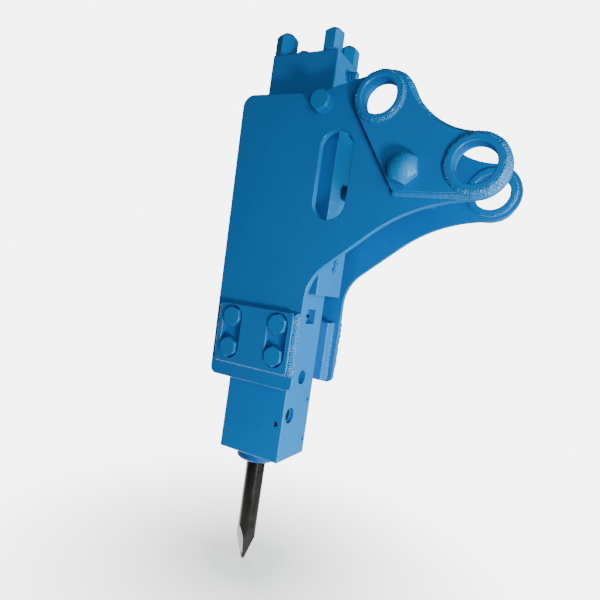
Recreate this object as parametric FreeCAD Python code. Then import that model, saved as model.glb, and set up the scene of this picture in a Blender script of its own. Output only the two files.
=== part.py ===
"""Side-plate hydraulic breaker hammer for an excavator arm, one STEP file per piece.

Millimetres. +Z is up along the tool axis, +X points from the tool towards the
carrier, +Y is the carrier's left. Pieces are shaped about the tool axis, with
the height of the arm pin as Z = 0, and save() moves them so that the origin is
the centre of the arm pin bore, halfway between the ears.
"""

import FreeCAD, Part
import math
import os

V = FreeCAD.Vector

# Place of the pin bores, measured from the tool axis
ARM_PIN_X = 593.0
LINK_PIN_X = 320.0
LINK_PIN_Z = 178.0
ARM_BORE_R = 53.0
LINK_BORE_R = 50.0
ARM_BOSS_R = 70.0
LINK_BOSS_R = 64.0
BOSS_INNER_Y = 124.0
BOSS_OUTER_Y = 180.0
BOSS_EDGE = 2.5

# Side plates and the ear doublers welded outside them
PLATE_OUTER_Y = 150.0
PLATE_T = 20.0
PLATE_INNER_Y = PLATE_OUTER_Y - PLATE_T
PLATE_TOP_Z = 211.5
PLATE_TOP_FALL = -1.5
PLATE_BOTTOM_Z = -664.0
PLATE_REAR_TOP_X = -143.0
PLATE_REAR_BOTTOM_X = -126.0
PLATE_FRONT_X = 169.0
PLATE_REAR_CORNER_R = 36.0
PLATE_NECK_R = 300.0
PLATE_FOOT_R = 20.0
PLATE_EDGE = 1.5
LINK_EAR_X = 328.0
LINK_EAR_Z = 172.0
LINK_EAR_R = 87.0
ARM_EAR_R = 85.0
UPPER_RISE = 14.2
EAR_DROP = -62.0
SADDLE_SLOPE = -5.0
SADDLE_R = 210.0
UNDERSIDE_SLOPE = 8.0
UNDERSIDE_R = 432.0
THROAT_SLOPE = 39.9
THROAT_X = 221.0
THROAT_Z = -288.0
THROAT_R = 137.0
DOUBLER_T = 20.0
DOUBLER_OUTER_Y = PLATE_OUTER_Y + DOUBLER_T
DOUBLER_INSET = 10.0
DOUBLER_REAR_HEADING = 122.0
DOUBLER_CORNER_R = 14.0
SLOT_X = 203.0
SLOT_R = 51.0
SLOT_Z0 = -108.0
SLOT_Z1 = 48.0

# Hammer body: front head, cylinder and back head stacked on the tool axis
BODY_Y = 86.0
FRONT_X0 = -94.0
FRONT_X1 = 124.0
FRONT_Z0 = -905.0
FRONT_Z1 = -375.0
CYLINDER_X0 = -95.0
CYLINDER_X1 = 176.0
CYLINDER_Z1 = 200.0
BACK_X0 = -99.0
BACK_X1 = 133.0
BACK_Z1 = 367.0
BODY_EDGE = 4.0

# Clamp pads outside the side plates, spacers inside them, and their bolts
PAD_X0 = -106.0
PAD_X1 = 156.0
PAD_Z0 = -618.0
PAD_Z1 = -436.0
PAD_T = 20.0
PAD_CORNER_R = 12.0
PAD_EDGE = 2.0
POCKET_R = 33.0
SIDE_BOLT_X = (-56.0, 106.0)
SIDE_BOLT_Z = (-570.0, -475.0)
SPACER_X0 = -100.0
SPACER_X1 = 150.0
SPACER_Z0 = -655.0
SPACER_Z1 = -463.0
UPPER_SPACER_X0 = 104.0
UPPER_SPACER_X1 = 172.0
UPPER_SPACER_Z0 = 118.0
UPPER_SPACER_Z1 = 204.0
UPPER_BOLT_X = 140.0
UPPER_BOLT_Z = 178.0
M36_R = 18.0
M36_FLATS = 55.0
M36_HEAD = 22.5
WASHER_R = 30.5
UPPER_WASHER_R = 34.0
WASHER_T = 5.0
SIDE_THREAD_R = 13.5
SIDE_BOLT_TIP_Y = 52.0
SIDE_BOLT_TURN = (90.0, 78.0, 84.0, 97.0)
UPPER_BOLT_TURN = 98.0
BOLT_GAP = 0.5
THREAD_GAP = 0.1

# Cross bolt that ties the ears together
CROSS_X = 417.0
CROSS_Z = -17.0
CROSS_R = 24.0
CROSS_FLATS = 75.0
CROSS_HEAD = 42.0
CROSS_DOME_R = 50.0
CROSS_TURN = 100.0
CROSS_NUT = 38.0
CROSS_NUT_CROWN = 5.0
CROSS_NUT_TURN = 75.0
CROSS_END = 8.0
CROSS_TUBE_R = 34.0

# Through bolts that clamp the three body blocks
THROUGH_X = (-70.0, 97.0)
THROUGH_Y = 58.0
THROUGH_R = 16.5
THROUGH_GAP = 1.0
THROUGH_Z0 = -448.0
THROUGH_NUT_FLATS = 60.0
THROUGH_NUT_TOP = 441.0
THROUGH_NUT_CROWN = 15.0
THROUGH_NUT_TURN = (33.0, 8.0, 0.0, 27.0)
THROUGH_NUT_ROOF = 5.0
THROUGH_WASHER_R = 29.5

# Working tool and what guides and holds it
TOOL_R = 31.0
TOOL_NECK_R = 26.0
TOOL_TIP_Z = -1279.0
TOOL_TIP_HALF = 3.5
TOOL_POINT = 120.0
TOOL_POINT_TURN = 64.0
TOOL_EDGE = 4.0
TOOL_TRAVEL = 55.0
STOP_GAP = 0.3
THRUST_Z0 = -560.0
THRUST_Z1 = -530.0
TOOL_TOP_UP_Z = -470.0
BUSH_CLEARANCE = 0.08
UPPER_BUSH_R = 62.0
UPPER_BUSH_Z0 = -735.0
UPPER_BUSH_Z1 = -600.0
LOWER_BUSH_R = 66.0
LOWER_BUSH_Z0 = -937.0
LOWER_BUSH_Z1 = -790.0
BUSH_EDGE = 6.0
BUSH_TOP_EDGE = 3.0
DUST_SEAL_R = 41.9
DUST_SEAL_T = 12.0
TOOL_BORE_R = 36.0
HEAD_CAVITY_R = 46.0
SEAT_GAP = 0.1
ROD_PIN_Y = -47.0
ROD_PIN_Z = -760.0
ROD_PIN_R = 22.0
ROD_PIN_X0 = -64.0
ROD_PIN_X1 = 112.0
ROD_PIN_MOUTH_R = 25.0
ROD_PIN_EDGE = 3.0
PIN_GAP = 0.2
STOP_PIN_X = 100.0
STOP_PIN_Z = -787.0
STOP_PIN_R = 8.0
STOP_PIN_Y1 = -18.0
STOP_PIN_RECESS = 8.0
BUSH_PIN_R = 6.0
BUSH_PIN_X0 = -42.0
BUSH_PIN_RECESS = 9.0
UPPER_BUSH_PIN = (64.0, -722.0)
LOWER_BUSH_PIN = (68.0, -856.0)
LOCK_PLUG_R = 22.5
LOCK_PLUG_Z = -643.0
LOCK_PLUG_RECESS = 16.0
LOCK_PLUG_DOME = 10.0
LOCK_PLUG_BITE = 4.0
GREASE_POCKET_Y = 30.0
GREASE_POCKET_Z0 = -470.0
GREASE_POCKET_Z1 = -424.0
GREASE_POCKET_DEPTH = 24.0
NIPPLE_THREAD_R = 6.0
NIPPLE_FLATS = 17.0
NIPPLE_DEPTH = 11.0
NIPPLE_HEX = 7.0
NIPPLE_NECK_R = 4.0
NIPPLE_TIP_R = 5.2
NIPPLE_TIP_X0 = 13.0
NIPPLE_TIP_X1 = 18.0

# Piston and its guides
PISTON_LAND_R = 40.0
PISTON_WAIST_R = 34.0
PISTON_LOWER_R = 32.0
PISTON_UPPER_R = 36.0
PISTON_TIP_R = 26.0
PISTON_BOTTOM_Z = TOOL_TOP_UP_Z + STOP_GAP
PISTON_TOP_Z = 165.0
PISTON_TIP_TOP_Z = -392.0
PISTON_LAND_Z = ((-215.0, -110.0), (-60.0, 0.0))
PISTON_CLEARANCE = 0.04
SEAL_BUSH_R = 50.0
SEAL_BUSH_Z1 = -290.0
OIL_CHAMBER_R = 50.0
OIL_CHAMBER_Z1 = -230.0
CARRIER_R = 52.0
CARRIER_Z0 = 64.0
GAS_CHAMBER_R = 60.0
GAS_CHAMBER_Z1 = 330.0
SEAL_SECTION = 4.6
SEAL_HEIGHT = 7.0
SEAL_GAP = 0.4
LOWER_SEAL_Z = (-350.0, -325.0)
UPPER_SEAL_Z = (100.0, 130.0, 160.0)
FACE_SEAL_R = 64.0
FACE_SEAL_SECTION = 4.0

# Control valve in its own bore beside the piston
VALVE_X = 122.0
VALVE_SPOOL_R = 18.0
VALVE_SLEEVE_R = 28.0
VALVE_Z0 = -170.0
VALVE_SLEEVE_Z1 = 10.0
VALVE_SPOOL_TOP = -32.0
VALVE_SPOOL_BORE = 9.0
VALVE_WAIST_R = 13.0
VALVE_WAISTS = ((-140.0, -110.0), (-76.0, -52.0))
VALVE_PASSAGE_Z = (-150.0, -85.0)
VALVE_PASSAGE_R = 7.0
VALVE_SLEEVE_HOLE_R = 5.0
VALVE_PLUG_Z0 = 30.0
VALVE_PLUG_WAIST_R = 16.0
VALVE_PLUG_WAIST = (100.0, 178.0)
OIL_GROOVE_DEPTH = 8.0
OIL_GROOVE_Z = (-100.0, -70.0)

# Oil ports, gas valve and small plugs on the faces towards the carrier
PRESSURE_PORT_Z = -50.0
RETURN_PORT_Z = 140.0
PORT_R = 16.5
PORT_DEPTH = 20.0
PORT_BORE_R = 9.0
ADAPTER_FLATS = 41.0
ADAPTER_HEX = 14.0
ADAPTER_TURN = 20.0
ADAPTER_NOSE_R = 14.5
ADAPTER_NOSE = 22.0
GAS_VALVE_Z = 318.0
GAS_VALVE_R = 11.0
GAS_VALVE_DEPTH = 20.0
GAS_VALVE_BORE_R = 3.0
GAS_VALVE_RINGS = ((17.0, 0.0, 5.0), (12.0, 5.0, 9.0), (15.0, 9.0, 15.0), (9.0, 15.0, 24.0))
GAS_CAP_R = 13.0
GAS_CAP_START = 17.0
GAS_CAP_LENGTH = 17.0
GAS_CAP_EDGE = 2.0
CYLINDER_PLUGS = ((16.0, -268.0, 9.0), (8.0, -292.0, 6.5))
PLUG_DEPTH = 14.0
PLUG_COLLAR = 3.0
PLUG_COLLAR_T = 6.0

# How far a cutting shape runs past the faces that it cuts
CUT = 1.0


def save(name, shape):
    """Write one piece, moved so that the arm pin centre is the origin."""
    if shape.ShapeType == "Compound" and len(shape.Solids) == 1:
        shape = shape.Solids[0]
    moved = shape.copy()
    moved.translate(V(-ARM_PIN_X, 0, 0))
    moved.exportStep("parts/" + name + ".step")


def group(shapes):
    """Identical separate solids that share one node."""
    return Part.makeCompound(shapes)


def box(x0, x1, y0, y1, z0, z1):
    return Part.makeBox(x1 - x0, y1 - y0, z1 - z0, V(x0, y0, z0))


def rod(radius, start, end):
    """Cylinder from one point to another."""
    axis = V(*end) - V(*start)
    return Part.makeCylinder(radius, axis.Length, V(*start), axis)


def tube(outer, inner, start, end):
    return rod(outer, start, end).cut(rod(inner, start, end))


def turned(profile, x=0.0):
    """Solid of revolution about the vertical line at x, from (radius, height) points."""
    points = [V(x + r, 0, z) for r, z in profile]
    wire = Part.makePolygon(points + points[:1])
    return Part.Face(wire).revolve(V(x, 0, 0), V(0, 0, 1), 360)


def mirrored(shape):
    """The same piece on the other side of the middle plane."""
    return shape.mirror(V(0, 0, 0), V(0, 1, 0))


def hex_prism(flats, start, end, turn=0.0):
    """Hexagonal bar between two points, turned about its own axis."""
    axis = V(*end) - V(*start)
    radius = flats / math.sqrt(3.0)
    angles = [math.radians(turn + 60.0 * k) for k in range(7)]
    wire = Part.makePolygon([V(radius * math.cos(a), radius * math.sin(a), 0) for a in angles])
    prism = Part.Face(wire).extrude(V(0, 0, axis.Length))
    prism.Placement = FreeCAD.Placement(V(*start), FreeCAD.Rotation(V(0, 0, 1), axis))
    return prism


def hex_head(flats, start, end, turn=0.0, crown=4.0):
    """Hexagonal head whose outer corners are turned off to a crown."""
    axis = V(*end) - V(*start)
    corner = flats / math.sqrt(3.0)
    small = corner - crown * 1.15
    full = Part.makeCylinder(corner, axis.Length - crown)
    top = Part.makeCone(corner, small, crown, V(0, 0, axis.Length - crown))
    envelope = full.fuse(top)
    envelope.Placement = FreeCAD.Placement(V(*start), FreeCAD.Rotation(V(0, 0, 1), axis))
    return hex_prism(flats, start, end, turn).common(envelope)


def domed_head(flats, start, end, turn, dome):
    """Hexagonal head whose outer end is turned to part of a ball."""
    axis = V(*end) - V(*start)
    centre = V(*end) - axis * (dome / axis.Length)
    return hex_prism(flats, start, end, turn).common(Part.makeSphere(dome, centre))


def soften(shape, size, wanted):
    """Round the straight edges that the test picks."""
    edges = [e for e in shape.Edges if e.Curve.TypeId == "Part::GeomLine" and wanted(e)]
    return shape.makeFillet(size, edges)


def is_upright(edge):
    a, b = edge.Vertexes[0].Point, edge.Vertexes[-1].Point
    return abs(a.x - b.x) < 0.01 and abs(a.y - b.y) < 0.01


def line_past(centre, radius, heading):
    """Line travelling at heading degrees with a circle of this radius on its right."""
    a = math.radians(heading)
    point = V(centre[0] - radius * math.sin(a), 0, centre[1] + radius * math.cos(a))
    return point, V(math.cos(a), 0, math.sin(a))


def crossing(first, second):
    """Point where two lines in the XZ plane meet."""
    (p, d), (q, e) = first, second
    gap = q - p
    t = (gap.x * e.z - gap.z * e.x) / (d.x * e.z - d.z * e.x)
    return p + d * t


def outline(lines, radii):
    """Closed clockwise wire of straight runs, each pair joined by an arc."""
    pieces = []
    count = len(lines)
    for k in range(count):
        before, after = lines[k][1], lines[(k + 1) % count][1]
        corner = crossing(lines[k], lines[(k + 1) % count])
        turn = math.acos(max(-1.0, min(1.0, before.dot(after))))
        run = radii[k] * math.tan(turn / 2)
        start, end = corner - before * run, corner + after * run
        inward = (start + end) * 0.5 - corner
        inward.normalize()
        middle = corner + inward * (radii[k] / math.cos(turn / 2) - radii[k])
        pieces.append((start, middle, end))
    edges = []
    for k in range(count):
        start, middle, end = pieces[k]
        following = pieces[(k + 1) % count][0]
        edges.append(Part.Arc(start, middle, end).toShape())
        if end.distanceToPoint(following) > 0.01:
            edges.append(Part.LineSegment(end, following).toShape())
    return Part.Wire(edges)


def plate(wire, y0, y1):
    """Flat plate between two Y positions from an outline in the XZ plane."""
    face = Part.Face(wire)
    face.translate(V(0, y0, 0))
    return face.extrude(V(0, y1 - y0, 0))


def obround(x, radius, z0, z1, y0, y1):
    """Bar with round ends, used to cut slots and pockets through a plate."""
    straight = box(x - radius, x + radius, y0, y1, z0, z1)
    ends = [rod(radius, (x, y0, z), (x, y1, z)) for z in (z0, z1)]
    return straight.fuse(ends).removeSplitter()


def side_plate():
    """Left side plate: body flank, underside throat and both pin ears."""
    arm = (ARM_PIN_X, 0.0)
    link = (LINK_EAR_X, LINK_EAR_Z)
    rear = math.degrees(math.atan2(PLATE_TOP_Z - PLATE_BOTTOM_Z, PLATE_REAR_TOP_X - PLATE_REAR_BOTTOM_X))
    lines = [
        line_past((PLATE_REAR_BOTTOM_X, PLATE_BOTTOM_Z), 0, rear),
        line_past((0, PLATE_TOP_Z), 0, PLATE_TOP_FALL),
        line_past(link, LINK_EAR_R, UPPER_RISE),
        line_past(link, LINK_EAR_R, EAR_DROP),
        line_past(arm, ARM_EAR_R, SADDLE_SLOPE),
        line_past(arm, ARM_EAR_R, -90),
        line_past(arm, ARM_EAR_R, 180 + UNDERSIDE_SLOPE),
        line_past((THROAT_X, THROAT_Z), 0, 180 + THROAT_SLOPE),
        line_past((PLATE_FRONT_X, 0), 0, -90),
        line_past((0, PLATE_BOTTOM_Z), 0, 180),
    ]
    radii = [
        PLATE_REAR_CORNER_R, PLATE_NECK_R, LINK_EAR_R, SADDLE_R, ARM_EAR_R, ARM_EAR_R, UNDERSIDE_R, THROAT_R,
        PLATE_FOOT_R, PLATE_FOOT_R,
    ]
    body = plate(outline(lines, radii), PLATE_INNER_Y, PLATE_OUTER_Y)
    body = body.cut(obround(SLOT_X, SLOT_R, SLOT_Z0, SLOT_Z1, PLATE_INNER_Y - CUT, PLATE_OUTER_Y + CUT))
    body = body.makeChamfer(PLATE_EDGE, flat_rim(body, PLATE_OUTER_Y))
    for shape in ear_holes() + [shank_hole(x, z) for x, z in side_bolt_places()]:
        body = body.cut(shape)
    return body.cut(shank_hole(UPPER_BOLT_X, UPPER_BOLT_Z))


def flat_rim(shape, y):
    """Edges of a plate that lie in the plane at y."""
    return [e for e in shape.Edges if all(abs(p.y - y) < 0.01 for p in e.discretize(3))]


def ear_holes():
    """Holes for the two bosses and the cross bolt through plate and doubler."""
    y0, y1 = PLATE_INNER_Y - CUT, DOUBLER_OUTER_Y + CUT
    holes = [
        (ARM_PIN_X, 0.0, ARM_BOSS_R + SEAT_GAP),
        (LINK_PIN_X, LINK_PIN_Z, LINK_BOSS_R + SEAT_GAP),
        (CROSS_X, CROSS_Z, CROSS_R + BOLT_GAP),
    ]
    return [rod(r, (x, y0, z), (x, y1, z)) for x, z, r in holes]


def shank_hole(x, z):
    """Left clearance hole for a side bolt, through spacer and side plate."""
    return rod(M36_R + BOLT_GAP, (x, BODY_Y - CUT, z), (x, PLATE_OUTER_Y + CUT, z))


def thread_hole(x, z):
    """Left hole in a block for a side bolt's thread, thin enough to leave a wall round it."""
    return rod(SIDE_THREAD_R + THREAD_GAP, (x, SIDE_BOLT_TIP_Y - CUT, z), (x, BODY_Y + CUT, z))


def ear_doubler():
    """Left reinforcing plate over both ears, welded outside the side plate."""
    arm = (ARM_PIN_X, 0.0)
    link = (LINK_EAR_X, LINK_EAR_Z)
    link_r = LINK_EAR_R - DOUBLER_INSET
    arm_r = ARM_EAR_R - DOUBLER_INSET
    lines = [
        line_past(link, link_r, DOUBLER_REAR_HEADING),
        line_past(link, link_r, UPPER_RISE),
        line_past(link, link_r, EAR_DROP),
        line_past(arm, arm_r, SADDLE_SLOPE),
        line_past(arm, arm_r, -90),
        line_past(arm, arm_r, 180),
    ]
    radii = [link_r, link_r, SADDLE_R + DOUBLER_INSET, arm_r, arm_r, DOUBLER_CORNER_R]
    body = plate(outline(lines, radii), PLATE_OUTER_Y, DOUBLER_OUTER_Y)
    body = body.makeChamfer(PLATE_EDGE, flat_rim(body, DOUBLER_OUTER_Y))
    for hole in ear_holes():
        body = body.cut(hole)
    return body


def pin_boss(x, z, outer, inner):
    """Left ear boss: a thick tube through plate and doubler that takes the pin."""
    ring = tube(outer, inner, (x, BOSS_INNER_Y, z), (x, BOSS_OUTER_Y, z))
    rims = [e for e in ring.Edges if e.Curve.TypeId == "Part::GeomCircle"]
    return ring.makeChamfer(BOSS_EDGE, rims)


def clamp_pad():
    """Left outer clamp pad with two pockets that shelter the bolt heads."""
    body = box(PAD_X0, PAD_X1, PLATE_OUTER_Y, PLATE_OUTER_Y + PAD_T, PAD_Z0, PAD_Z1)
    corners = [e for e in body.Edges if abs(e.Vertexes[0].Y - e.Vertexes[-1].Y) > PAD_T - CUT]
    body = body.makeFillet(PAD_CORNER_R, corners)
    for x in SIDE_BOLT_X:
        y0, y1 = PLATE_OUTER_Y - CUT, PLATE_OUTER_Y + PAD_T + CUT
        body = body.cut(obround(x, POCKET_R, SIDE_BOLT_Z[0], SIDE_BOLT_Z[1], y0, y1))
    return body.makeChamfer(PAD_EDGE, flat_rim(body, PLATE_OUTER_Y + PAD_T))


def lower_spacer():
    """Left packing block between front head and side plate."""
    body = box(SPACER_X0, SPACER_X1, BODY_Y, PLATE_INNER_Y, SPACER_Z0, SPACER_Z1)
    body = soften(body, BODY_EDGE, is_upright)
    for x, z in side_bolt_places():
        body = body.cut(shank_hole(x, z))
    return body


def upper_spacer():
    """Left packing block between cylinder and side plate."""
    body = box(UPPER_SPACER_X0, UPPER_SPACER_X1, BODY_Y, PLATE_INNER_Y, UPPER_SPACER_Z0, UPPER_SPACER_Z1)
    return soften(body, BODY_EDGE, is_upright).cut(shank_hole(UPPER_BOLT_X, UPPER_BOLT_Z))


def side_bolt(x, z, turn):
    """Left shoulder bolt: hexagon head, thick shank through plate and spacer, thinner thread in the block."""
    seat = PLATE_OUTER_Y + WASHER_T
    head = hex_head(M36_FLATS, (x, seat, z), (x, seat + M36_HEAD, z), turn)
    shank = rod(M36_R, (x, BODY_Y, z), (x, seat, z))
    return head.fuse(shank).fuse(rod(SIDE_THREAD_R, (x, SIDE_BOLT_TIP_Y, z), (x, BODY_Y + CUT, z)))


def washer(x, z, radius):
    y0 = PLATE_OUTER_Y
    return tube(radius, M36_R + BOLT_GAP, (x, y0, z), (x, y0 + WASHER_T, z))


def side_bolt_places():
    return [(x, z) for x in SIDE_BOLT_X for z in SIDE_BOLT_Z]


def lower_side_bolts():
    return [side_bolt(x, z, turn) for (x, z), turn in zip(side_bolt_places(), SIDE_BOLT_TURN)]


def cross_bolt():
    """Big bolt across the ears; its domed head is on the right."""
    seat = -DOUBLER_OUTER_Y
    start, end = (CROSS_X, seat, CROSS_Z), (CROSS_X, seat - CROSS_HEAD, CROSS_Z)
    head = domed_head(CROSS_FLATS, start, end, CROSS_TURN, CROSS_DOME_R)
    tip = (CROSS_X, DOUBLER_OUTER_Y + CROSS_NUT + CROSS_END, CROSS_Z)
    return head.fuse(rod(CROSS_R, start, tip))


def cross_nut():
    y0, y1 = DOUBLER_OUTER_Y, DOUBLER_OUTER_Y + CROSS_NUT
    start, end = (CROSS_X, y0, CROSS_Z), (CROSS_X, y1, CROSS_Z)
    nut = hex_head(CROSS_FLATS, start, end, CROSS_NUT_TURN, CROSS_NUT_CROWN)
    return nut.cut(rod(CROSS_R + THREAD_GAP, (CROSS_X, y0 - CUT, CROSS_Z), (CROSS_X, y1 + CUT, CROSS_Z)))


def cross_tube():
    start = (CROSS_X, -PLATE_INNER_Y, CROSS_Z)
    return tube(CROSS_TUBE_R, CROSS_R + BOLT_GAP, start, (CROSS_X, PLATE_INNER_Y, CROSS_Z))


def through_places():
    return [(x, y) for x in THROUGH_X for y in (-THROUGH_Y, THROUGH_Y)]


def through_holes(z0, z1, gap=THROUGH_GAP):
    return [rod(THROUGH_R + gap, (x, y, z0), (x, y, z1)) for x, y in through_places()]


def nut_hole_top():
    return THROUGH_NUT_TOP - THROUGH_NUT_CROWN - THROUGH_NUT_ROOF


def through_bolt(x, y):
    return rod(THROUGH_R, (x, y, THROUGH_Z0), (x, y, nut_hole_top() - THROUGH_GAP))


def through_nut(x, y, turn):
    """Tall cap nut over the end of a through bolt."""
    z0 = BACK_Z1 + WASHER_T
    nut = hex_head(THROUGH_NUT_FLATS, (x, y, z0), (x, y, THROUGH_NUT_TOP), turn, THROUGH_NUT_CROWN)
    return nut.cut(rod(THROUGH_R + THREAD_GAP, (x, y, z0 - CUT), (x, y, nut_hole_top())))


def through_washer(x, y):
    return tube(THROUGH_WASHER_R, THROUGH_R + THROUGH_GAP, (x, y, BACK_Z1), (x, y, BACK_Z1 + WASHER_T))


def back_head():
    """Nitrogen chamber block on top of the cylinder."""
    body = box(BACK_X0, BACK_X1, -BODY_Y, BODY_Y, CYLINDER_Z1, BACK_Z1)
    body = soften(body, BODY_EDGE, lambda e: is_upright(e) or e.Vertexes[0].Z > BACK_Z1 - CUT)
    face = (BACK_X1 + CUT, 0, GAS_VALVE_Z)
    cuts = [
        rod(GAS_CHAMBER_R, (0, 0, CYLINDER_Z1 - CUT), (0, 0, GAS_CHAMBER_Z1)),
        rod(GAS_VALVE_BORE_R + CUT, (0, 0, GAS_VALVE_Z), face),
        rod(GAS_VALVE_R + SEAT_GAP, (BACK_X1 - GAS_VALVE_DEPTH - CUT, 0, GAS_VALVE_Z), face),
        face_groove(CYLINDER_Z1),
    ]
    for cut in cuts + through_holes(CYLINDER_Z1 - CUT, BACK_Z1 + CUT):
        body = body.cut(cut)
    return body


def face_groove(z):
    """Ring groove for a face seal, open downwards at height z."""
    depth = FACE_SEAL_SECTION
    return tube(FACE_SEAL_R + depth + PIN_GAP, FACE_SEAL_R - PIN_GAP, (0, 0, z - CUT), (0, 0, z + depth))


def face_seal(z):
    depth = FACE_SEAL_SECTION
    return tube(FACE_SEAL_R + depth, FACE_SEAL_R, (0, 0, z), (0, 0, z + depth - PIN_GAP))


def cylinder():
    """Main block with the piston bore, valve bore, chambers and ports."""
    body = box(CYLINDER_X0, CYLINDER_X1, -BODY_Y, BODY_Y, FRONT_Z1, CYLINDER_Z1)
    body = soften(body, BODY_EDGE, is_upright)
    foot, top = (0, 0, FRONT_Z1 - CUT), (0, 0, CYLINDER_Z1 + CUT)
    cuts = [
        rod(PISTON_LAND_R + PISTON_CLEARANCE, foot, top),
        rod(OIL_CHAMBER_R + SEAT_GAP, foot, (0, 0, OIL_CHAMBER_Z1)),
        rod(CARRIER_R + SEAT_GAP, (0, 0, CARRIER_Z0), top),
        rod(PISTON_LAND_R + OIL_GROOVE_DEPTH, (0, 0, OIL_GROOVE_Z[0]), (0, 0, OIL_GROOVE_Z[1])),
        rod(VALVE_SLEEVE_R + SEAT_GAP, (VALVE_X, 0, VALVE_Z0), (VALVE_X, 0, CYLINDER_Z1 + CUT)),
        face_groove(FRONT_Z1),
    ]
    for z in (PRESSURE_PORT_Z, RETURN_PORT_Z):
        cuts.append(rod(PORT_R + SEAT_GAP, (CYLINDER_X1 - PORT_DEPTH, 0, z), (CYLINDER_X1 + CUT, 0, z)))
        cuts.append(rod(PORT_BORE_R, (VALVE_X, 0, z), (CYLINDER_X1, 0, z)))
    for z in VALVE_PASSAGE_Z:
        cuts.append(rod(VALVE_PASSAGE_R, (PISTON_WAIST_R, 0, z), (VALVE_X, 0, z)))
    for y, z, radius in CYLINDER_PLUGS:
        start = (CYLINDER_X1 - PLUG_DEPTH - CUT, y, z)
        cuts.append(rod(radius + SEAT_GAP, start, (CYLINDER_X1 + CUT, y, z)))
    cuts += through_holes(FRONT_Z1 - CUT, CYLINDER_Z1 + CUT)
    bolt = thread_hole(UPPER_BOLT_X, UPPER_BOLT_Z)
    for cut in cuts + [bolt, mirrored(bolt)]:
        body = body.cut(cut)
    return body


def front_head():
    """Lower block that guides the tool and holds its pins and bushes."""
    body = box(FRONT_X0, FRONT_X1, -BODY_Y, BODY_Y, FRONT_Z0, FRONT_Z1)
    body = soften(body, BODY_EDGE, lambda e: is_upright(e) or e.Vertexes[0].Z < FRONT_Z0 + CUT)
    foot, top, face = FRONT_Z0 - CUT, FRONT_Z1 + CUT, FRONT_X1 + CUT
    pocket = FRONT_X1 - GREASE_POCKET_DEPTH
    cuts = [
        rod(TOOL_BORE_R, (0, 0, foot), (0, 0, top)),
        rod(HEAD_CAVITY_R, (0, 0, THRUST_Z1), (0, 0, top)),
        rod(UPPER_BUSH_R + SEAT_GAP, (0, 0, UPPER_BUSH_Z0), (0, 0, UPPER_BUSH_Z1)),
        rod(HEAD_CAVITY_R + SEAT_GAP, (0, 0, THRUST_Z0), (0, 0, THRUST_Z1 + CUT)),
        rod(LOWER_BUSH_R + SEAT_GAP, (0, 0, foot), (0, 0, LOWER_BUSH_Z1)),
        rod(ROD_PIN_R + PIN_GAP, (ROD_PIN_X0, ROD_PIN_Y, ROD_PIN_Z), (face, ROD_PIN_Y, ROD_PIN_Z)),
        rod(ROD_PIN_MOUTH_R, (ROD_PIN_X1, ROD_PIN_Y, ROD_PIN_Z), (face, ROD_PIN_Y, ROD_PIN_Z)),
        rod(STOP_PIN_R + PIN_GAP, (STOP_PIN_X, -BODY_Y - CUT, STOP_PIN_Z), stop_pin_end()),
        rod(LOCK_PLUG_R + PIN_GAP, (lock_plug_start(), 0, LOCK_PLUG_Z), (face, 0, LOCK_PLUG_Z)),
        box(pocket, face, -GREASE_POCKET_Y, GREASE_POCKET_Y, GREASE_POCKET_Z0, GREASE_POCKET_Z1),
        rod(NIPPLE_THREAD_R + THREAD_GAP, (pocket - NIPPLE_DEPTH, 0, nipple_z()), (face, 0, nipple_z())),
    ]
    for y, z in (UPPER_BUSH_PIN, LOWER_BUSH_PIN):
        cuts.append(rod(BUSH_PIN_R + PIN_GAP, (BUSH_PIN_X0, y, z), (face, y, z)))
    cuts += through_holes(THROUGH_Z0 - CUT, top, THREAD_GAP)
    bolts = [thread_hole(x, z) for x, z in side_bolt_places()]
    for cut in cuts + bolts + [mirrored(b) for b in bolts]:
        body = body.cut(cut)
    return body


def chisel():
    """Moil-point tool with a shoulder above and a flat for the retaining pin."""
    shoulder = THRUST_Z0 - TOOL_TRAVEL - STOP_GAP
    top = TOOL_TOP_UP_Z - TOOL_TRAVEL
    bar = turned([
        (0, TOOL_TIP_Z), (TOOL_R, TOOL_TIP_Z), (TOOL_R, shoulder - TOOL_EDGE), (TOOL_R - TOOL_EDGE, shoulder),
        (TOOL_NECK_R, shoulder), (TOOL_NECK_R, top - TOOL_EDGE), (TOOL_NECK_R - TOOL_EDGE, top), (0, top),
    ])
    root = TOOL_TIP_Z + TOOL_POINT
    corners = ((1, 1), (-1, 1), (-1, -1), (1, -1), (1, 1))
    squares = [Part.makePolygon([V(half * x, half * y, z) for x, y in corners])
               for half, z in ((TOOL_TIP_HALF, TOOL_TIP_Z), (TOOL_R + CUT, root))]
    point = Part.makeLoft(squares, True, True)
    point.rotate(V(0, 0, 0), V(0, 0, 1), TOOL_POINT_TURN)
    reach = 2 * TOOL_R
    bar = bar.common(point.fuse(box(-reach, reach, -reach, reach, root, top + CUT)))
    notch_top = ROD_PIN_Z + ROD_PIN_R + STOP_GAP
    notch_bottom = ROD_PIN_Z - ROD_PIN_R - TOOL_TRAVEL - STOP_GAP
    flat = ROD_PIN_Y + ROD_PIN_R + STOP_GAP
    return bar.cut(box(-reach, reach, -reach, flat, notch_bottom, notch_top))


def tool_bush(outer, z0, z1, pin):
    """Steel guide bush with a groove where its lock pin crosses."""
    inner = TOOL_R + BUSH_CLEARANCE
    bush = turned([
        (inner, z0), (outer - BUSH_EDGE, z0), (outer, z0 + BUSH_EDGE),
        (outer, z1 - BUSH_TOP_EDGE), (outer - BUSH_TOP_EDGE, z1), (inner, z1),
    ])
    return bush.cut(rod(BUSH_PIN_R + PIN_GAP, (-outer, pin[0], pin[1]), (outer, pin[0], pin[1])))


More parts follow.
